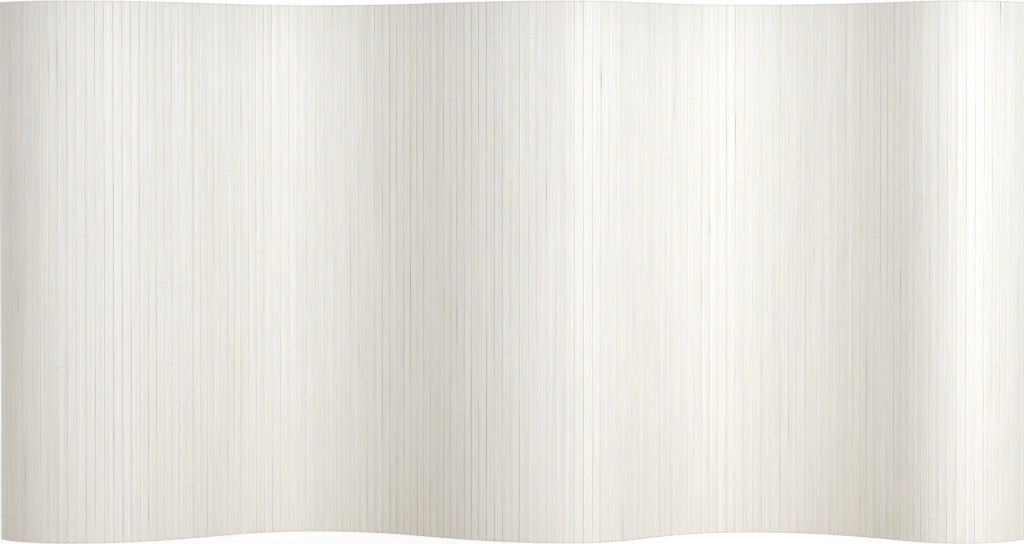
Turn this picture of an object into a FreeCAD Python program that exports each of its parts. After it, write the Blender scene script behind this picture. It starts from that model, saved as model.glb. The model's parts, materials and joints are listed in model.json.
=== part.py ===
import FreeCAD, Part
import math
import os

# A free-standing bamboo wave screen: flat upright slats threaded edge to edge on hidden cords.
# It has no frame, and stands because it is set in a wave. Lengths are in millimetres, +Z is up,
# the front faces -Y, and the origin is under the middle of the screen's box, on the floor.

# Slats. Each long edge is widest along a narrow flat at the middle of the thickness, and leans back from
# there to both faces, so that two slats can turn towards each other by a seam's full bend.
SLAT_WIDTH = 20.2
SLAT_THICKNESS = 5.0
SLAT_HEIGHT = 1200.0
EDGE_FLAT = 0.6
EDGE_RADIUS = 0.5
SEAM_GAP = 0.3
SEAM_BEND_DEG = 15.0

# Slats in each leaf, which moves as one piece, and leaves in the screen
SLATS_PER_LEAF = 5
LEAF_COUNT = 27

# Cords, which run through every slat at the middle of its thickness
CORD_ROWS = 4
CORD_DIAMETER = 1.5
CORD_CLEARANCE = 0.15
CORD_END_MARGIN = 110.0
CORD_BEND_REACH = 4.0
CORD_BREAK = 0.4
CORD_STRAIGHT_TURN = 0.1

# Crimped stops, one on each end of each cord, sunk in the outer edges of the end slats
STOP_DIAMETER = 3.2
STOP_LENGTH = 5.0
STOP_CLEARANCE = 0.1
STOP_GRIP = 0.05
STOP_RECESS = 1.0

# The standing wave, from left to right. Each half wave is the slats over which the run turns to its
# steepest heading, the slats over which it turns back, and that heading in degrees, + to the back.
# The screen begins some slats into the first half wave and ends within the last one.
HALF_WAVES = (
    (0.0, 16.0, -77.0),
    (18.0, 13.0, 46.5),
    (15.0, 17.5, -43.0),
    (10.0, 15.0, 52.5),
    (19.5, 7.5, -49.5),
    (14.0, 14.0, 71.0),
)
WAVE_START = 6.0

SLAT_COUNT = SLATS_PER_LEAF * LEAF_COUNT
SLAT_PITCH = SLAT_WIDTH + SEAM_GAP
EDGE_LEAN_DEG = SEAM_BEND_DEG / 2
UP = FreeCAD.Vector(0, 0, 1)
ALONG = FreeCAD.Vector(1, 0, 0)


def heading(slat):
    """Heading of a slat, in degrees from +X towards +Y, read from the wave at the slat's middle."""
    place = WAVE_START + slat + 0.5
    for rise, fall, steepest in HALF_WAVES:
        if place < rise:
            return steepest * math.sin(math.pi / 2 * place / rise)
        if place < rise + fall:
            return steepest * math.cos(math.pi / 2 * (place - rise) / fall)
        place -= rise + fall
    return 0.0


def face_half_width():
    """Half the width of a slat's face, between the two edges that lean back, before they are rounded."""
    return SLAT_WIDTH / 2 - math.tan(math.radians(EDGE_LEAN_DEG)) * (SLAT_THICKNESS - EDGE_FLAT) / 2


def slat_reach(slat):
    """How far a slat's section reaches from its middle along X and along Y."""
    round_across = face_half_width() - EDGE_RADIUS * math.tan(math.radians(90 - EDGE_LEAN_DEG) / 2)
    round_through = SLAT_THICKNESS / 2 - EDGE_RADIUS
    turn = math.radians(heading(slat))
    along, aside = abs(math.cos(turn)), abs(math.sin(turn))
    reaches = []
    for across_share, through_share in ((along, aside), (aside, along)):
        at_flat = SLAT_WIDTH / 2 * across_share + EDGE_FLAT / 2 * through_share
        at_round = round_across * across_share + round_through * through_share + EDGE_RADIUS
        reaches.append(max(at_flat, at_round))
    return reaches


def seam_points():
    """Floor points at the middle of each seam, the two ends included, with the screen's box centred."""
    points = [FreeCAD.Vector(0, 0, 0)]
    low = [math.inf, math.inf]
    high = [-math.inf, -math.inf]
    for slat in range(SLAT_COUNT):
        turn = math.radians(heading(slat))
        step = FreeCAD.Vector(math.cos(turn), math.sin(turn), 0) * SLAT_PITCH
        middle = points[-1] + step * 0.5
        for axis, reach in enumerate(slat_reach(slat)):
            low[axis] = min(low[axis], middle[axis] - reach)
            high[axis] = max(high[axis], middle[axis] + reach)
        points.append(points[-1] + step)
    centre = FreeCAD.Vector((low[0] + high[0]) / 2, (low[1] + high[1]) / 2, 0)
    return [point - centre for point in points]


def cord_heights():
    """Heights of the cord rows, spread evenly between the margins at the slats' two ends."""
    spacing = (SLAT_HEIGHT - 2 * CORD_END_MARGIN) / (CORD_ROWS - 1)
    return [CORD_END_MARGIN + row * spacing for row in range(CORD_ROWS)]


def slat_blank():
    """A slat along +X, with its left seam at the origin, before it is drilled."""
    face, flat = SLAT_THICKNESS / 2, EDGE_FLAT / 2
    right_edge = [(SLAT_WIDTH / 2, flat), (face_half_width(), face)]
    left_edge = [(-across, through) for across, through in reversed(right_edge)]
    back = right_edge + left_edge
    front = [(across, -through) for across, through in reversed(back)]
    middle = FreeCAD.Vector(SLAT_PITCH / 2, 0, 0)
    corners = [middle + FreeCAD.Vector(across, through, 0) for across, through in back + front]
    blank = Part.Face(Part.makePolygon(corners + corners[:1])).extrude(UP * SLAT_HEIGHT)
    face_corners = []
    for edge in blank.Edges:
        upright = abs(edge.tangentAt(edge.FirstParameter).z) > 0.5
        if upright and abs(edge.CenterOfMass.y) > (face + flat) / 2:
            face_corners.append(edge)
    return blank.makeFillet(EDGE_RADIUS, face_corners)


def plain_slat():
    """A slat drilled from edge to edge for the cords."""
    bore = CORD_DIAMETER / 2 + CORD_CLEARANCE
    drills = [
        Part.makeCylinder(bore, SLAT_PITCH, FreeCAD.Vector(0, 0, height), ALONG)
        for height in cord_heights()
    ]
    return slat_blank().cut(Part.makeCompound(drills)).Solids[0]


def end_slat(at_left):
    """A slat whose outer edge is counterbored for the cord stops."""
    depth = SEAM_GAP / 2 + STOP_RECESS + STOP_LENGTH
    start = 0 if at_left else SLAT_PITCH - depth
    radius = STOP_DIAMETER / 2 + STOP_CLEARANCE
    seats = [
        Part.makeCylinder(radius, depth, FreeCAD.Vector(start, 0, height), ALONG)
        for height in cord_heights()
    ]
    return plain_slat().cut(Part.makeCompound(seats)).Solids[0]


def cord_stops(at_left):
    """The crimped sleeves of one end, each standing on the floor of its counterbore."""
    edge = SEAM_GAP / 2 + STOP_RECESS
    start = edge if at_left else SLAT_PITCH - edge - STOP_LENGTH
    sleeves = []
    for height in cord_heights():
        place = FreeCAD.Vector(start, 0, height)
        sleeve = Part.makeCylinder(STOP_DIAMETER / 2, STOP_LENGTH, place, ALONG)
        hole = Part.makeCylinder(CORD_DIAMETER / 2 + STOP_GRIP, STOP_LENGTH, place, ALONG)
        sleeves.append(sleeve.cut(hole).Solids[0])
    return sleeves


def cord_path(corners):
    """A route through the corners, turned at each by an arc that reaches as far along both sides."""
    edges = []
    start = corners[0]
    for before, corner, after in zip(corners, corners[1:], corners[2:]):
        back = (before - corner).normalize()
        ahead = (after - corner).normalize()
        turn = math.pi - back.getAngle(ahead)
        if math.degrees(turn) < CORD_STRAIGHT_TURN:
            continue
        inward = (back + ahead).normalize()
        bend_start = corner + back * CORD_BEND_REACH
        bend_middle = corner + inward * (CORD_BEND_REACH * math.tan(turn / 4))
        bend_end = corner + ahead * CORD_BEND_REACH
        edges.append(Part.LineSegment(start, bend_start).toShape())
        edges.append(Part.Arc(bend_start, bend_middle, bend_end).toShape())
        start = bend_end
    edges.append(Part.LineSegment(start, corners[-1]).toShape())
    return Part.Wire(edges)


def leaf_cords(leaf, points):
    """The stretches of all the cords in one leaf, from near its left hinge line to near its right one."""
    first = leaf * SLATS_PER_LEAF
    corners = points[first:first + SLATS_PER_LEAF + 1]
    stop_face = SEAM_GAP / 2 + STOP_RECESS
    left_in = stop_face if leaf == 0 else CORD_BREAK / 2
    right_in = stop_face if leaf == LEAF_COUNT - 1 else CORD_BREAK / 2
    left_way = (corners[1] - corners[0]).normalize()
    right_way = (corners[-2] - corners[-1]).normalize()
    corners[0] = corners[0] + left_way * left_in
    corners[-1] = corners[-1] + right_way * right_in
    path = cord_path(corners)
    section = Part.Wire([Part.makeCircle(CORD_DIAMETER / 2, corners[0], left_way)])
    stretch = path.makePipeShell([section], True, False)
    measured = stretch.Volume / (math.pi * CORD_DIAMETER ** 2 / 4 * path.Length)
    print("cord stretch", leaf + 1, "volume over section times length", round(measured, 5))
    return [stretch.translated(UP * height) for height in cord_heights()]


def placed(shape, slat, points):
    """A copy of a shape made along +X, set at a slat's place and heading in the wave."""
    copy = shape.copy()
    copy.Placement = FreeCAD.Placement(points[slat], FreeCAD.Rotation(UP, heading(slat)))
    return copy


def save(node, solids):
    """Write one named node as a group of separate solids."""
    Part.makeCompound(solids).exportStep("parts/%s.step" % node)


def build():
    """Make every node of the screen."""
    os.makedirs("parts", exist_ok=True)
    points = seam_points()
    slat_shape = plain_slat()
    last_slat = SLAT_COUNT - 1
    for leaf in range(LEAF_COUNT):
        first = leaf * SLATS_PER_LEAF
        slats = [slat for slat in range(first, first + SLATS_PER_LEAF) if slat not in (0, last_slat)]
        save("slats_%02d" % (leaf + 1), [placed(slat_shape, slat, points) for slat in slats])
        save("cords_%02d" % (leaf + 1), leaf_cords(leaf, points))
    for side, slat, at_left in (("left", 0, True), ("right", last_slat, False)):
        save(side + "_end_slat", [placed(end_slat(at_left), slat, points)])
        save(side + "_cord_stops", [placed(stop, slat, points) for stop in cord_stops(at_left)])


build()
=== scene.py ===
import json
import math
import random
from collections import namedtuple

import bmesh
import bpy
import numpy as np
from mathutils import Matrix, Vector
from mathutils.kdtree import KDTree


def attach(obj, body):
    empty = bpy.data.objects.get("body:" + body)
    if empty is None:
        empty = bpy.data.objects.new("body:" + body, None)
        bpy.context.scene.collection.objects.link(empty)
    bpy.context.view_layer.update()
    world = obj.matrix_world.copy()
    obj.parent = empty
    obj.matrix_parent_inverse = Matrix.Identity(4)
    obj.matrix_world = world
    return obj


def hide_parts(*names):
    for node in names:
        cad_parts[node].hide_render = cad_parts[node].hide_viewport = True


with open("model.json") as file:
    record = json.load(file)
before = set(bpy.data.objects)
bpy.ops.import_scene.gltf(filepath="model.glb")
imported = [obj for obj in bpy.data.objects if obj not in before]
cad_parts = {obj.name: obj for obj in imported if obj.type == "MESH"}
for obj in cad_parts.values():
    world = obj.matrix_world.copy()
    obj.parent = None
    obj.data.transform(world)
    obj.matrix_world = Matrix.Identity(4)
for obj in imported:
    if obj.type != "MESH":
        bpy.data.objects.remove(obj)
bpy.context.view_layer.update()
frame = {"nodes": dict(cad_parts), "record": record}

# A white-washed bamboo wave screen. Every slat is rebuilt over its solid with the small faults of real
# bamboo, and the cords and their stops keep their solids. Lengths are in metres, and the front faces -Y.
MM = 0.001
SEED = 135
WELD_DISTANCE = 0.001 * MM

# A slat as it is read from the frame: the middle of its foot, its direction along the run, its sizes, and
# the node and the body that it belongs to
Slat = namedtuple("Slat", "foot along width thickness height node body")

# A dressed slat, which fills out its solid's section
EASE_STEPS = 4
FACE_STEPS = 4
RIM_WIDTH = 2.8 * MM
EASE_DEPTH = 0.7 * MM
TIP_REACH = 0.11 * MM
TONGUE_HALF = 0.4 * MM
FACE_CROWN = (0.02 * MM, 0.20 * MM)
END_CHAMFER = 0.4 * MM
END_DARKENING_REACH = 3 * MM
RING_SPACING = 30 * MM
SHARP_ANGLE = math.radians(35)

# Marks of the places on a slat's section: on a face, where an edge starts to round, and at the edge's tip.
# Between the last two the mark grows with the depth below the face.
FACE_MARK = -1.0
EDGE_MARK = 0.0
TIP_MARK = 1.0

# Material slots of a dressed slat
WASHED_SLOT = 0
SAWN_SLOT = 1

# Seams, each shared by the edges of two slats. The sides lean back from a seam, so that it can bend.
SEAM_EASE = (0.39 * MM, 0.44 * MM)
HINGE_EASE = 0.11 * MM
SEAM_LEAN = (0.018, 0.026)
HINGE_BEND_DEG = 15
HINGE_LEAN_SPARE = 0.004
FULL_LEAN = math.tan(math.radians(HINGE_BEND_DEG / 2)) + HINGE_LEAN_SPARE
SEAM_STAND_BACK = (0.02 * MM, 0.05 * MM)
SEAM_WANDER = 0.09 * MM
SEAM_WANDER_CYCLES = (1.3, 2.9, 5.3, 9.1)
SEAM_WANDER_FADE = 0.4
# Painted highlight on the rims beside a seam, strong on a slat's left edge and faint on its right
LEFT_EDGE_HIGHLIGHT = (0.6, 1.0)
RIGHT_EDGE_HIGHLIGHT = (0.0, 0.25)
# Dark colour down the edges in a seam: partly wash worn off, partly painted shade. It is stronger on a
# slat's right edge and where the slats stand loose
LEFT_EDGE_WEAR_AND_SHADE = (0.38, 0.52)
RIGHT_EDGE_WEAR_AND_SHADE = (0.69, 0.86)
CLOSED_WEAR_AND_SHADE_SHARE = 0.62
CLOSED_HINGE_WEAR_AND_SHADE_SHARE = 0.0
LEAST_WEAR_AND_SHADE_SHARE = 0.35
OPEN_SHARE = 0.2
OPEN_DEPTH = (0.10 * MM, 0.35 * MM)
OPEN_LENGTH = (60 * MM, 240 * MM)

# How far the slats stand back from the seams where they sit loose on the cords, by the seam's number
LOOSE_BACK = (
    (0, 0.0), (9, 0.0), (14, 0.17 * MM), (31, 0.17 * MM), (36, 0.0), (43, 0.02 * MM), (50, 0.52 * MM),
    (61, 0.44 * MM), (69, 0.0), (84, 0.05 * MM), (106, 0.03 * MM), (116, 0.42 * MM), (123, 0.0),
)
LOOSE_ENOUGH = 0.2 * MM

# The two outer edges of the screen, and the seats in them for the cord stops
OUTER_EASE = 0.6 * MM
OUTER_BARE = 0.3
SEAT_CLEARANCE = 0.1 * MM
SEAT_OVERRUN = 3 * MM
SEAT_SIDES = 40

# Bamboo nodes, the joints of the cane, which show as faint swellings across a slat. Each has a few rings,
# at places given in half heights from its middle.
NODE_RISE = 0.10 * MM
NODE_HALF_HEIGHT = 5 * MM
NODE_RINGS = (-1, -0.5, 0, 0.5, 1)
NODE_SPACING = (210 * MM, 340 * MM)
NODE_STRENGTH = (0.3, 1.0)
NODE_MARKED_SHARE = 0.2

# The wash: how light it is on each slat, how it darkens near the sawn ends, the painted shade that darkens
# it towards the top, and the painted highlight that it gains on the rims
SLAT_TONE = (0.986, 1.000)
END_DARKENING = 0.24
TOP_PAINTED_SHADE = 0.06
TOP_PAINTED_SHADE_REACH = (140 * MM, 260 * MM)
RIM_HIGHLIGHT_GAIN = 0.21
WASH_LIMIT = (0.97, 0.97, 0.96)
WASH_COLOURS = ((0.852, 0.838, 0.786), (0.860, 0.838, 0.804))
WASH_ROUGHNESS = (0.42, 0.56)
WASH_SPECULAR = 0.35
WASH_BUMP = 0.05 * MM

# The grain in the wash: how fine each pattern is across a slat, through it and along it, and how far it
# moves the tone, the red or the blue. Noise keeps to the middle of its range, and that span is drawn out.
NOISE_SPAN = (0.3, 0.7)
GRAIN_SHIFT = 50
FIBRE_GRAIN = (900, 300, 7)
FIBRE_DEPTH = 0.048
STREAK_GRAIN = (320, 110, 2)
STREAK_DEPTH = 0.060
PATCH_GRAIN = (30, 10, 11)
PATCH_DEPTH = 0.006
PINK_GRAIN = (45, 20, 17)
PINK_DEPTH = 0.019
LILAC_GRAIN = (60, 30, 13)
LILAC_DEPTH = 0.034

# Seam edges darkened, partly bamboo showing where the wash is worn off and partly painted shade, and bamboo
# that shows where the wash is thin on a marked node
WORN_AND_SHADE_COLOUR = (0.46, 0.44, 0.34)
WORN_AND_SHADE_MARK = 0.18
NODE_COLOUR = (0.55, 0.50, 0.40)
NODE_COLOUR_SPAN = (0.35, 0.95)
NODE_STREAK_SPAN = (0.35, 0.65)
NODE_COLOUR_SHARE = (0.02, 0.18)

# Sawn ends, with the dots of cut fibre bundles
SAWN_COLOURS = ((0.74, 0.70, 0.60), (0.80, 0.77, 0.70))
SAWN_GRAIN = (220, 220, 50)
SAWN_ROUGHNESS = 0.75
BUNDLE_SCALE = 1400
BUNDLE_DOT = (0.18, 0.34)
BUNDLE_COLOUR = (0.46, 0.38, 0.26)
BUNDLE_BUMP = 0.08 * MM

# Cords and their crimped stops
YARN_COLOURS = ((0.42, 0.38, 0.30), (0.72, 0.68, 0.58))
STRAND_SCALE = 900
STRAND_DISTORTION = 1.5
CORD_ROUGHNESS = 0.85
CORD_BUMP = 0.12 * MM
METAL_COLOURS = ((0.55, 0.56, 0.57), (0.75, 0.76, 0.77))
METAL_ROUGHNESS = (0.30, 0.48)
SCRATCH_GRAIN = (1200, 1200, 4000)
SCRATCH_BUMP = 0.03 * MM

# Camera, set at the photograph's viewpoint
CAMERA_PLACE = (-0.0014, -9.6055, 0.8698)
CAMERA_TILT_DOWN_DEG = 1.627
CAMERA_LENS = 150.43
CAMERA_SENSOR = 36.0

# Light, and the floor and sky as the camera sees them
KEY_PLACE = (3.9, -6.5, 1.3)
KEY_TARGET = (0.15, 0.0, 0.65)
KEY_SIZE = 1.1
KEY_POWER = 254.0
KEY_COLOUR = (0.965, 1.0, 1.065)
SKY_TOP = (0.65, 0.66, 0.69)
SKY_LEFT = (0.99, 0.99, 0.99)
SKY_RIGHT = (0.19, 0.19, 0.19)
SKY_BACK = (1.70, 1.70, 1.70)
SKY_BACK_SPAN = (0.25, 0.85)
SKY_SEEN = (1.0, 1.0, 1.0, 1.0)
FLOOR_HALF_SIZE = 60.0
FLOOR_NEAR = (0.62, 0.52, 0.38)
FLOOR_FAR = (0.78, 0.74, 0.68)
FLOOR_NEAR_REACH = 1.2
FLOOR_SEEN = (0.7, 0.7, 0.7, 1.0)
FLOOR_GLOW = (0.46, 0.65)
FLOOR_GLOW_SPAN = (2.0, 5.0)


# Reading the slats' places from the frame

def loose_solids(node):
    """The points of each separate solid in a CAD node, as arrays, in the same order each run."""
    shape = bmesh.new()
    shape.from_mesh(frame["nodes"][node].data)
    bmesh.ops.remove_doubles(shape, verts=shape.verts, dist=WELD_DISTANCE)
    waiting = dict.fromkeys(shape.verts)
    solids = []
    while waiting:
        reached = [waiting.popitem()[0]]
        for vertex in reached:
            for edge in vertex.link_edges:
                other = edge.other_vert(vertex)
                if other in waiting:
                    del waiting[other]
                    reached.append(other)
        solids.append(np.array([vertex.co for vertex in reached]))
    shape.free()
    return solids


def back_of(along):
    """The direction square to a slat's run, towards the back."""
    return np.array([-along[1], along[0]])


def read_slat(points, node, body):
    """The slat whose solid has the points given."""
    plan = points[:, :2] - points[:, :2].mean(0)
    along = np.linalg.eigh(plan.T @ plan)[1][:, 1]
    along = along * np.sign(along[0])
    back = back_of(along)
    reach_along = points[:, :2] @ along
    reach_back = points[:, :2] @ back
    low, high = points[:, 2].min(), points[:, 2].max()
    middle = along * (reach_along.max() + reach_along.min()) / 2
    middle = middle + back * (reach_back.max() + reach_back.min()) / 2
    foot = np.array([middle[0], middle[1], low])
    return Slat(foot, along, np.ptp(reach_along), np.ptp(reach_back), high - low, node, body)


# Slat meshes

class Seam:
    """The line between two slats: the shape of the edges that meet there, and how it varies with height.

    A side is -1 at the left and 1 at the right, and a face is -1 at the front and 1 at the back.
    """

    ease_depth = EASE_DEPTH
    reach = TIP_REACH

    def __init__(self, rng, height, bend, loose, moves):
        """A seam with its standing bend, how far its slats stand back, and whether it is a hinge."""
        self.height = height
        self.ease = rng.uniform(*SEAM_EASE)
        self.stand_back = rng.uniform(*SEAM_STAND_BACK) + loose
        # Painted highlight on each edge's rim
        self.rim_highlights = {-1: rng.uniform(*LEFT_EDGE_HIGHLIGHT), 1: rng.uniform(*RIGHT_EDGE_HIGHLIGHT)}
        self.phases = [rng.random() for _ in SEAM_WANDER_CYCLES]
        self.open_middle = rng.uniform(0, height)
        self.open_length = rng.uniform(*OPEN_LENGTH)
        self.open_depth = rng.uniform(*OPEN_DEPTH) * (rng.random() < OPEN_SHARE)
        # Painted shade: where the slats stand loose, the edges take more of the dark colour
        closed_share = CLOSED_HINGE_WEAR_AND_SHADE_SHARE if moves else CLOSED_WEAR_AND_SHADE_SHARE
        share = closed_share + (1 - closed_share) * min(1, loose / LOOSE_ENOUGH)
        self.edge_wear_and_shade = {-1: share * rng.uniform(*LEFT_EDGE_WEAR_AND_SHADE), 1: share * rng.uniform(*RIGHT_EDGE_WEAR_AND_SHADE)}
        lean = rng.uniform(*SEAM_LEAN)
        self.leans = {face: lean + max(0, face * math.tan(bend / 2)) for face in (-1, 1)}
        if moves:
            self.leans = {face: FULL_LEAN for face in (-1, 1)}
            self.ease = HINGE_EASE

    def wander(self, heights):
        """A slow uneven line along the seam, from 0 to 1."""
        waves = np.zeros(len(heights))
        for cycles, phase in zip(SEAM_WANDER_CYCLES, self.phases):
            wave = np.sin(2 * math.pi * (cycles * heights / self.height + phase))
            waves += wave / cycles ** SEAM_WANDER_FADE
        return 0.5 + 0.5 * np.tanh(waves)

    def opening(self, heights):
        """From 0 to 1, the stretch where the edges are shaved back so that the seam stands open."""
        away = np.clip(np.abs(heights - self.open_middle) / (self.open_length / 2), 0, 1)
        return (self.open_depth > 0) * (0.5 + 0.5 * np.cos(math.pi * away))

    def inset(self, heights):
        """How far the edges stand back from the seam."""
        wandering = SEAM_WANDER * self.wander(heights)
        return self.stand_back + wandering + self.open_depth * self.opening(heights)

    def wear_and_shade(self, heights, side):
        """How far the edge on one side of a slat takes the dark seam colour: partly worn wash, partly
        painted shade.
        """
        share = LEAST_WEAR_AND_SHADE_SHARE + (1 - LEAST_WEAR_AND_SHADE_SHARE) * self.wander(heights)
        return np.maximum(self.edge_wear_and_shade[side] * share, self.opening(heights))


class OuterEdge:
    """The free edge at either end of the screen, which leans back as its solid does."""

    ease = OUTER_EASE
    ease_depth = EASE_DEPTH
    reach = 0.0
    leans = {-1: FULL_LEAN, 1: FULL_LEAN}
    rim_highlights = {-1: 0.0, 1: 0.0}

    def inset(self, heights):
        """The edge doesn't stand back."""
        return np.zeros(len(heights))

    def wear_and_shade(self, heights, side):
        """The wash is worn off alike all along."""
        return np.full(len(heights), OUTER_BARE)


def corner(half_width, rise, seam, face):
    """Points from a face round to an edge's tongue, each across, through and a mark of its place."""
    tip = half_width + seam.reach
    flat = tip - seam.leans[face] * (rise - seam.ease_depth) - seam.ease
    points = [(flat - RIM_WIDTH, rise, FACE_MARK)]
    for step in range(EASE_STEPS + 1):
        turn = math.pi / 2 * step / EASE_STEPS
        through = rise - seam.ease_depth * (1 - math.cos(turn))
        points.append((flat + seam.ease * math.sin(turn), through, 1 - through / rise))
    points.append((tip - seam.leans[face] * TONGUE_HALF, TONGUE_HALF, 1 - TONGUE_HALF / rise))
    return points


def section(width, thickness, seams):
    """Points round a slat's section, each across, through and a mark of its place."""
    half_width = width / 2
    rise = thickness / 2 - NODE_RISE
    outline = []
    for side, face in ((1, -1), (1, 1), (-1, 1), (-1, -1)):
        points = [(side * across, face * through, mark)
                  for across, through, mark in corner(half_width, rise, seams[side], face)]
        if face == side:
            outline.append((side * (half_width + seams[side].reach), 0.0, TIP_MARK))
            outline += reversed(points)
        else:
            start = -side * corner(half_width, rise, seams[-side], face)[0][0]
            stop = points[0][0]
            for step in range(1, FACE_STEPS):
                outline.append((start + (stop - start) * step / FACE_STEPS, face * rise, FACE_MARK))
            outline += points
    return np.array(outline)


def node_heights(rng, height):
    """Heights of the cane's nodes on one slat."""
    heights = []
    at = rng.uniform(0, NODE_SPACING[1])
    while at < height - 2 * NODE_HALF_HEIGHT:
        if at > 2 * NODE_HALF_HEIGHT:
            heights.append(at)
        at += rng.uniform(*NODE_SPACING)
    return heights


def node_swells(rng, nodes, heights):
    """How far each ring swells at the nodes, and how far the wash shows them, both from 0 to 1."""
    swell = np.zeros(len(heights))
    shown = np.zeros(len(heights))
    for node in nodes:
        away = np.clip(np.abs(heights - node) / NODE_HALF_HEIGHT, 0, 1)
        rise = 0.5 + 0.5 * np.cos(math.pi * away)
        swell = np.maximum(swell, rise * rng.uniform(*NODE_STRENGTH))
        shown = np.maximum(shown, rise * (rng.random() < NODE_MARKED_SHARE))
    return swell, shown


def ring_heights(nodes, height):
    """Heights of a slat's rings: even ones, and closer ones at the ends and the nodes."""
    count = round(height / RING_SPACING)
    heights = [height * step / count for step in range(count + 1)]
    for at in (END_CHAMFER, END_DARKENING_REACH):
        heights += [at, height - at]
    for node in nodes:
        heights += [node + NODE_HALF_HEIGHT * share for share in NODE_RINGS]
    heights = sorted(heights)
    kept = [heights[0]]
    for at in heights[1:]:
        if at - kept[-1] > END_CHAMFER / 2:
            kept.append(at)
    return np.array(kept)


def wash_tone(rng, heights, height):
    """How light the wash is on each ring of a slat."""
    # Painted shade: the wash darkens towards the top end
    top_shade = np.clip(1 - (height - heights) / rng.uniform(*TOP_PAINTED_SHADE_REACH), 0, 1) ** 2
    # The wash is darker near both sawn ends
    darkened = np.clip(1 - np.minimum(heights, height - heights) / END_DARKENING_REACH, 0, 1)
    return rng.uniform(*SLAT_TONE) - TOP_PAINTED_SHADE * top_shade - END_DARKENING * darkened


def ring_faces(rings, sides):
    """The faces between a slat's rings, and the two that close its ends."""
    faces = []
    for ring in range(rings - 1):
        low, high = ring * sides, (ring + 1) * sides
        for side in range(sides):
            after = (side + 1) % sides
            faces.append((low + side, low + after, high + after, high + side))
    bottom = tuple(reversed(range(sides)))
    top = tuple(range((rings - 1) * sides, rings * sides))
    return faces, (bottom, top)


def slat_mesh(rng, slat, seams):
    """Points, faces, end faces and shading values of one dressed slat, between its left and right seams."""
    nodes = node_heights(rng, slat.height)
    heights = ring_heights(nodes, slat.height)
    hue, shift = rng.random(), rng.uniform(0, GRAIN_SHIFT)
    crown_depth = rng.uniform(*FACE_CROWN)
    swell, shown = node_swells(rng, nodes, heights)
    tone = wash_tone(rng, heights, slat.height)
    cut = np.where((heights == heights[0]) | (heights == heights[-1]), END_CHAMFER, 0.0)

    across, through, mark = section(slat.width, slat.thickness, seams).T
    on_left = across < 0
    share = np.clip(across / (slat.width / 2 - EASE_DEPTH), -1, 1)
    inset = np.where(on_left, seams[-1].inset(heights)[:, None], seams[1].inset(heights)[:, None])
    inset = np.where(mark == TIP_MARK, 0, inset) + cut[:, None]
    ring_across = across - share * inset
    level = np.abs(through) / np.abs(through).max()
    crown = crown_depth * np.where(mark > EDGE_MARK, level, share ** 2)
    lift = (NODE_RISE * swell[:, None] - cut[:, None]) * level - crown
    ring_through = through + np.sign(through) * lift
    rings, sides = ring_across.shape
    points = np.empty((rings, sides, 3))
    points[:, :, :2] = slat.foot[:2] + ring_across[:, :, None] * slat.along
    points[:, :, :2] += ring_through[:, :, None] * back_of(slat.along)
    points[:, :, 2] = slat.foot[2] + heights[:, None]

    # Dark colour down each edge: partly worn wash, partly painted shade
    wear_and_shade = {side: seam.wear_and_shade(heights, side)[:, None] for side, seam in seams.items()}
    wear_and_shade = np.where(on_left, wear_and_shade[-1], wear_and_shade[1])
    # Painted highlight on the rims
    rim_highlight = np.where(on_left, seams[-1].rim_highlights[-1], seams[1].rim_highlights[1]) * (mark > FACE_MARK)
    grain = np.stack(np.broadcast_arrays(ring_across + shift, ring_through, heights[:, None] + shift), 2)
    look = np.stack(np.broadcast_arrays(mark, shown[:, None], wear_and_shade), 2)
    tint = np.stack(np.broadcast_arrays(tone[:, None], hue, rim_highlight), 2)
    values = {"grain": grain, "look": look, "tint": tint}
    values = {name: value.reshape(-1, 3) for name, value in values.items()}
    return points.reshape(-1, 3), *ring_faces(rings, sides), values


def slat_object(name, slat_meshes, materials):
    """One mesh object holding the dressed slats given."""
    points, faces, slots = [], [], []
    values = {}
    start = 0
    for slat_points, slat_faces, slat_ends, slat_values in slat_meshes:
        points.append(slat_points)
        for slot, group in ((WASHED_SLOT, slat_faces), (SAWN_SLOT, slat_ends)):
            faces += [tuple(start + index for index in face) for face in group]
            slots += [slot] * len(group)
        for key, value in slat_values.items():
            values.setdefault(key, []).append(value)
        start += len(slat_points)
    mesh = bpy.data.meshes.new(name)
    mesh.from_pydata(np.concatenate(points).tolist(), [], faces)
    for material in materials:
        mesh.materials.append(material)
    mesh.polygons.foreach_set("material_index", slots)
    mesh.polygons.foreach_set("use_smooth", [True] * len(faces))
    for key, value in values.items():
        attribute = mesh.attributes.new(key, "FLOAT_VECTOR", "POINT")
        attribute.data.foreach_set("vector", np.concatenate(value).ravel())
    mesh.set_sharp_from_angle(angle=SHARP_ANGLE)
    mesh.validate()
    piece = bpy.data.objects.new(name, mesh)
    bpy.context.scene.collection.objects.link(piece)
    return piece


# Materials

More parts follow.
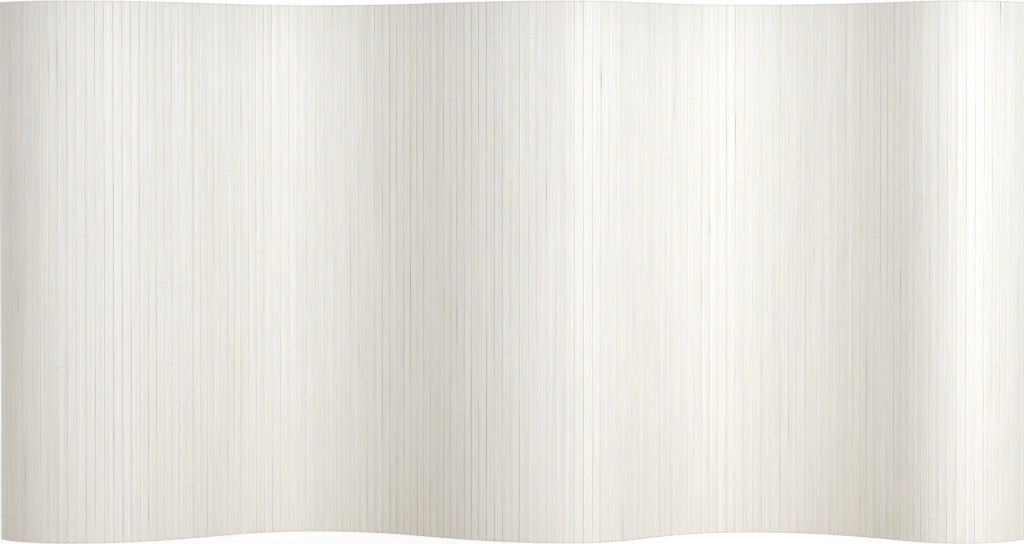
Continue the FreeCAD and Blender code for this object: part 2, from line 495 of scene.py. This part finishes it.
class Nodes:
    """A short way to write the node tree of a material or a world."""

    # Numbers of the colour inputs and the colour output of a Mix node
    mix_colours = (6, 7)
    mix_result = 2

    def __init__(self, owner):
        owner.use_nodes = True
        self.owner = owner
        self.tree = owner.node_tree
        self.shader = self.tree.nodes.get("Principled BSDF")

    def add(self, kind, **settings):
        """A new node with the settings given."""
        node = self.tree.nodes.new("ShaderNode" + kind)
        for key, value in settings.items():
            setattr(node, key, value)
        return node

    def link(self, source, target):
        """Lead an output to an input."""
        self.tree.links.new(source, target)

    def vector(self, name):
        """A shading vector stored on the mesh."""
        return self.add("Attribute", attribute_name=name).outputs["Vector"]

    def parts(self, vector):
        """A vector's three numbers."""
        node = self.add("SeparateXYZ")
        self.link(vector, node.inputs[0])
        return node.outputs

    def noise(self, vector, stretch, detail=2.0, roughness=0.5):
        """Noise from 0 to 1, with a scale of its own along each axis."""
        node = self.add("TexNoise")
        node.inputs["Scale"].default_value = 1.0
        node.inputs["Detail"].default_value = detail
        node.inputs["Roughness"].default_value = roughness
        self.link(self.vector_math("MULTIPLY", vector, stretch), node.inputs["Vector"])
        return node.outputs["Fac"]

    def fit(self, value, low, high, to_low=0.0, to_high=1.0, smooth=False):
        """A value moved from one span to another, and kept within it."""
        node = self.add("MapRange", interpolation_type="SMOOTHSTEP" if smooth else "LINEAR")
        self.link(value, node.inputs["Value"])
        for key, number in (("From Min", low), ("From Max", high), ("To Min", to_low), ("To Max", to_high)):
            node.inputs[key].default_value = number
        return node.outputs["Result"]

    def spread(self, noise, low, high):
        """A noise drawn out so that it reaches from one number to another."""
        return self.fit(noise, *NOISE_SPAN, low, high)

    def math(self, operation, first, second=0.0):
        """A number worked out from one or two, each a number or another node's output."""
        node = self.add("Math", operation=operation)
        for socket, value in zip(node.inputs, (first, second)):
            if isinstance(value, (int, float)):
                socket.default_value = value
            else:
                self.link(value, socket)
        return node.outputs[0]

    def vector_math(self, operation, first, second):
        """A vector worked out from another node's output and a second one, or plain numbers."""
        node = self.add("VectorMath", operation=operation)
        self.link(first, node.inputs[0])
        if isinstance(second, tuple):
            node.inputs[1].default_value = second
        else:
            self.link(second, node.inputs[1])
        return node.outputs[0]

    def mix(self, share, first, second):
        """A colour between two, each a colour or another node's output."""
        node = self.add("Mix", data_type="RGBA")
        self.link(share, node.inputs["Factor"])
        for socket, value in zip(self.mix_colours, (first, second)):
            if isinstance(value, tuple):
                node.inputs[socket].default_value = (*value, 1.0)
            else:
                self.link(value, node.inputs[socket])
        return node.outputs[self.mix_result]

    def bump(self, height, distance):
        """Raise the shader's surface by a pattern."""
        node = self.add("Bump")
        node.inputs["Distance"].default_value = distance
        self.link(height, node.inputs["Height"])
        self.link(node.outputs["Normal"], self.shader.inputs["Normal"])

    def seen_directly(self):
        """1 for rays that show what the camera sees, straight or by a reflection or through glass."""
        path = self.add("LightPath").outputs
        mirrored = self.math("MAXIMUM", path["Is Glossy Ray"], path["Is Transmission Ray"])
        return self.math("MAXIMUM", path["Is Camera Ray"], mirrored)

    def show(self, lighting, shown, output):
        """Let one shader light the scene and another be seen in its place."""
        choice = self.add("MixShader")
        self.link(self.seen_directly(), choice.inputs[0])
        self.link(lighting.outputs[0], choice.inputs[1])
        self.link(shown.outputs[0], choice.inputs[2])
        self.link(choice.outputs[0], self.add(output).inputs["Surface"])


def washed_bamboo():
    """White-washed bamboo: a chalky coat over fibres, with a painted highlight on the rims, and darker down
    in the seams, where it is partly worn thin and partly painted shade.
    """
    nodes = Nodes(bpy.data.materials.new("washed_bamboo"))
    grain = nodes.vector("grain")
    mark, shown, wear_and_shade = nodes.parts(nodes.vector("look"))
    tone, hue, rim_highlight = nodes.parts(nodes.vector("tint"))
    fibres = nodes.noise(grain, FIBRE_GRAIN, detail=4.0, roughness=0.6)
    streaks = nodes.noise(grain, STREAK_GRAIN)
    patches = nodes.noise(grain, PATCH_GRAIN)
    pinks = nodes.noise(grain, PINK_GRAIN, detail=1.0)
    lilacs = nodes.noise(grain, LILAC_GRAIN, detail=1.0)

    for pattern, depth in ((streaks, STREAK_DEPTH), (fibres, FIBRE_DEPTH), (patches, PATCH_DEPTH)):
        tone = nodes.math("ADD", tone, nodes.spread(pattern, -depth, depth))
    # Painted highlight: the wash is lighter on the rims
    tone = nodes.math("ADD", tone, nodes.math("MULTIPLY", rim_highlight, RIM_HIGHLIGHT_GAIN))
    tinted = nodes.add("CombineXYZ")
    nodes.link(nodes.math("ADD", tone, nodes.spread(pinks, -PINK_DEPTH, PINK_DEPTH)), tinted.inputs["X"])
    nodes.link(tone, tinted.inputs["Y"])
    nodes.link(nodes.math("ADD", tone, nodes.spread(lilacs, -LILAC_DEPTH, LILAC_DEPTH)), tinted.inputs["Z"])
    wash = nodes.vector_math("MULTIPLY", nodes.mix(hue, *WASH_COLOURS), tinted.outputs[0])
    wash = nodes.vector_math("MINIMUM", wash, WASH_LIMIT)

    # Dark colour down the edges in the seams: partly bamboo where the wash is worn off, partly painted
    # shade
    darkened = nodes.math("MULTIPLY", nodes.fit(mark, EDGE_MARK, WORN_AND_SHADE_MARK, smooth=True), wear_and_shade)
    coloured = nodes.mix(darkened, wash, WORN_AND_SHADE_COLOUR)
    node_share = nodes.fit(streaks, *NODE_STREAK_SPAN, *NODE_COLOUR_SHARE)
    ring = nodes.math("MULTIPLY", nodes.fit(shown, *NODE_COLOUR_SPAN, smooth=True), node_share)
    coloured = nodes.mix(ring, coloured, NODE_COLOUR)
    nodes.link(coloured, nodes.shader.inputs["Base Color"])
    nodes.link(nodes.spread(streaks, *WASH_ROUGHNESS), nodes.shader.inputs["Roughness"])
    nodes.shader.inputs["Specular IOR Level"].default_value = WASH_SPECULAR
    nodes.bump(nodes.math("ADD", fibres, streaks), WASH_BUMP)
    return nodes.owner


def sawn_end():
    """A slat's sawn end: pale wood with the dots of cut fibre bundles."""
    nodes = Nodes(bpy.data.materials.new("sawn_bamboo_end"))
    grain = nodes.vector("grain")
    bundles = nodes.add("TexVoronoi")
    bundles.inputs["Scale"].default_value = BUNDLE_SCALE
    nodes.link(grain, bundles.inputs["Vector"])
    dots = nodes.fit(bundles.outputs["Distance"], *BUNDLE_DOT, smooth=True)
    wash = nodes.noise(grain, SAWN_GRAIN, detail=3.0)
    wood = nodes.mix(nodes.spread(wash, 0, 1), *SAWN_COLOURS)
    nodes.link(nodes.mix(dots, BUNDLE_COLOUR, wood), nodes.shader.inputs["Base Color"])
    nodes.shader.inputs["Roughness"].default_value = SAWN_ROUGHNESS
    nodes.bump(dots, BUNDLE_BUMP)
    return nodes.owner


def braided_cord():
    """A pale braided cord."""
    nodes = Nodes(bpy.data.materials.new("braided_cord"))
    place = nodes.add("TexCoord").outputs["Object"]
    strands = nodes.add("TexWave", wave_type="BANDS", bands_direction="DIAGONAL")
    strands.inputs["Scale"].default_value = STRAND_SCALE
    strands.inputs["Distortion"].default_value = STRAND_DISTORTION
    nodes.link(place, strands.inputs["Vector"])
    yarn = nodes.mix(strands.outputs["Fac"], *YARN_COLOURS)
    nodes.link(yarn, nodes.shader.inputs["Base Color"])
    nodes.shader.inputs["Roughness"].default_value = CORD_ROUGHNESS
    nodes.bump(strands.outputs["Fac"], CORD_BUMP)
    return nodes.owner


def crimped_metal():
    """A dull aluminium sleeve with fine scratches."""
    nodes = Nodes(bpy.data.materials.new("crimped_metal"))
    place = nodes.add("TexCoord").outputs["Object"]
    scratches = nodes.noise(place, SCRATCH_GRAIN, detail=3.0)
    tarnish = nodes.mix(nodes.spread(scratches, 0, 1), *METAL_COLOURS)
    nodes.link(tarnish, nodes.shader.inputs["Base Color"])
    nodes.shader.inputs["Metallic"].default_value = 1.0
    nodes.link(nodes.spread(scratches, *METAL_ROUGHNESS), nodes.shader.inputs["Roughness"])
    nodes.bump(scratches, SCRATCH_BUMP)
    return nodes.owner


# Dressing the frame

def turn_between(before, after):
    """The angle from one slat's direction to the next one's, positive where the front bulges."""
    return math.atan2(before[0] * after[1] - before[1] * after[0], before @ after)


def seams_of(slats):
    """The outer edge at the left, the seam between each two slats, and the outer edge at the right."""
    seams = [OuterEdge()]
    for number, (first, second) in enumerate(zip(slats, slats[1:])):
        rng = random.Random("seam %d %d" % (SEED, number))
        bend = turn_between(first.along, second.along)
        loose = np.interp(number, *zip(*LOOSE_BACK))
        seams.append(Seam(rng, first.height, bend, loose, first.body != second.body))
    return seams + [OuterEdge()]


def seat_drills(stops, outward):
    """One mesh of a drill for each cord stop, from the sleeve's inner end out past the slat's edge."""
    shape = bmesh.new()
    turn = Vector(outward).to_track_quat("Z", "Y").to_matrix().to_4x4()
    for sleeve in loose_solids(stops):
        reach = sleeve @ outward
        middle = (sleeve.max(0) + sleeve.min(0)) / 2
        radius = np.ptp(sleeve[:, 2]) / 2 + SEAT_CLEARANCE
        length = np.ptp(reach) + SEAT_OVERRUN
        place = Matrix.Translation(middle + outward * (reach.min() + length / 2 - middle @ outward))
        bmesh.ops.create_cone(shape, cap_ends=True, segments=SEAT_SIDES, radius1=radius, radius2=radius,
                              depth=length, matrix=place @ turn)
    mesh = bpy.data.meshes.new("drills")
    shape.to_mesh(mesh)
    shape.free()
    return mesh


def carry_values(before, after, along):
    """Give the points that a cut added the shading values of the nearest point that was there before."""
    axes = np.array([[*along, 0], [*back_of(along), 0], [0, 0, 1]])
    old = KDTree(len(before.vertices))
    for vertex in before.vertices:
        old.insert(vertex.co, vertex.index)
    old.balance()
    for vertex in after.vertices:
        place, nearest, _ = old.find(vertex.co)
        for name in ("grain", "look", "tint"):
            value = before.attributes[name].data[nearest].vector
            if name == "grain":
                value = value + Vector(axes @ np.array(vertex.co - place))
            after.attributes[name].data[vertex.index].vector = value


def cut_seats(piece, stops, along, side):
    """Cut a round seat for each cord stop into an end slat's outer edge."""
    drill_mesh = seat_drills(stops, side * np.array([*along, 0.0]))
    for material in piece.data.materials:
        drill_mesh.materials.append(material)
    drill_mesh.polygons.foreach_set("material_index", [SAWN_SLOT] * len(drill_mesh.polygons))
    drill = bpy.data.objects.new("drills", drill_mesh)
    bpy.context.scene.collection.objects.link(drill)
    cut = piece.modifiers.new("seats", "BOOLEAN")
    cut.operation = "DIFFERENCE"
    cut.solver = "MANIFOLD"
    cut.object = drill
    whole = piece.data
    piece.data = bpy.data.meshes.new_from_object(piece.evaluated_get(bpy.context.evaluated_depsgraph_get()))
    piece.modifiers.clear()
    carry_values(whole, piece.data, along)
    piece.data.set_sharp_from_angle(angle=SHARP_ANGLE)
    bpy.data.objects.remove(drill)
    bpy.data.meshes.remove(drill_mesh)
    bpy.data.meshes.remove(whole)


def dress_slats():
    """Rebuild every slat of every slat node as a dressed piece on the same body."""
    materials = (washed_bamboo(), sawn_end())
    slats = []
    for body, members in frame["record"]["behaviour"]["bodies"].items():
        for node in members:
            if "slat" in node:
                slats += [read_slat(points, node, body) for points in loose_solids(node)]
    slats.sort(key=lambda slat: slat.foot[0])
    seams = seams_of(slats)
    dressed = {}
    for number, slat in enumerate(slats):
        rng = random.Random("slat %d %d" % (SEED, number))
        slat_shape = slat_mesh(rng, slat, {-1: seams[number], 1: seams[number + 1]})
        dressed.setdefault((slat.node, slat.body), []).append(slat_shape)
    for (node, body), slat_meshes in dressed.items():
        piece = slat_object("bamboo_" + node, slat_meshes, materials)
        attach(piece, body)
        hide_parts(node)
    cut_seats(bpy.data.objects["bamboo_left_end_slat"], "left_cord_stops", slats[0].along, -1)
    cut_seats(bpy.data.objects["bamboo_right_end_slat"], "right_cord_stops", slats[-1].along, 1)


def finish_cords():
    """Give the cords and their stops their own materials."""
    cord, metal = braided_cord(), crimped_metal()
    for name, node in frame["nodes"].items():
        if name.startswith("cords"):
            node.data.materials[0] = cord
        if name.endswith("cord_stops"):
            node.data.materials[0] = metal


# Stage

def floor_material():
    """White to the camera, with the screen's shadow on it, and warm in the light that it sends back."""
    nodes = Nodes(bpy.data.materials.new("pale_floor"))
    nodes.tree.nodes.clear()
    place = nodes.add("NewGeometry").outputs["Position"]
    farness = nodes.fit(nodes.math("ABSOLUTE", nodes.parts(place)["Y"]), 0, FLOOR_NEAR_REACH)
    away = nodes.add("VectorMath", operation="LENGTH")
    nodes.link(place, away.inputs[0])
    bounce = nodes.add("BsdfDiffuse")
    nodes.link(nodes.mix(farness, FLOOR_NEAR, FLOOR_FAR), bounce.inputs["Color"])
    lit = nodes.add("BsdfDiffuse")
    lit.inputs["Color"].default_value = FLOOR_SEEN
    glow = nodes.add("Emission")
    nodes.link(nodes.fit(away.outputs["Value"], *FLOOR_GLOW_SPAN, *FLOOR_GLOW), glow.inputs["Strength"])
    shown = nodes.add("AddShader")
    nodes.link(lit.outputs[0], shown.inputs[0])
    nodes.link(glow.outputs[0], shown.inputs[1])
    nodes.show(bounce, shown, "OutputMaterial")
    return nodes.owner


def build_floor():
    """A plain floor."""
    mesh = bpy.data.meshes.new("floor")
    size = FLOOR_HALF_SIZE
    corners = [(-size, -size, 0), (size, -size, 0), (size, size, 0), (-size, size, 0)]
    mesh.from_pydata(corners, [], [(0, 1, 2, 3)])
    mesh.materials.append(floor_material())
    floor = bpy.data.objects.new("floor", mesh)
    bpy.context.scene.collection.objects.link(floor)


def build_world():
    """A soft sky, brighter at the left and behind, that shows as plain white."""
    nodes = Nodes(bpy.data.worlds.new("studio"))
    nodes.tree.nodes.clear()
    across, depth, up = nodes.parts(nodes.add("TexCoord").outputs["Generated"])
    sides = nodes.mix(nodes.fit(across, -1, 1), SKY_LEFT, SKY_RIGHT)
    around = nodes.mix(nodes.fit(depth, *SKY_BACK_SPAN, smooth=True), sides, SKY_BACK)
    light = nodes.add("Background")
    nodes.link(nodes.mix(nodes.fit(up, 0, 1), around, SKY_TOP), light.inputs["Color"])
    white = nodes.add("Background")
    white.inputs["Color"].default_value = SKY_SEEN
    nodes.show(light, white, "OutputWorld")
    bpy.context.scene.world = nodes.owner


def build_key_light():
    """A soft light at the front right, nearer to the right end."""
    lamp = bpy.data.lights.new("key", "AREA")
    lamp.shape = "SQUARE"
    lamp.size = KEY_SIZE
    lamp.energy = KEY_POWER
    lamp.color = KEY_COLOUR
    key = bpy.data.objects.new("key", lamp)
    key.location = KEY_PLACE
    aim = Vector(KEY_TARGET) - Vector(KEY_PLACE)
    key.rotation_euler = aim.to_track_quat("-Z", "Y").to_euler()
    bpy.context.scene.collection.objects.link(key)


def build_camera():
    """A long lens square to the screen, at about three quarters of its height."""
    lens = bpy.data.cameras.new("camera")
    lens.lens = CAMERA_LENS
    lens.sensor_width = CAMERA_SENSOR
    camera = bpy.data.objects.new("camera", lens)
    camera.location = CAMERA_PLACE
    camera.rotation_euler = (math.radians(90 - CAMERA_TILT_DOWN_DEG), 0, 0)
    bpy.context.scene.collection.objects.link(camera)
    bpy.context.scene.camera = camera


dress_slats()
finish_cords()
build_floor()
build_world()
build_key_light()
build_camera()
bpy.context.scene.view_settings.view_transform = "Standard"
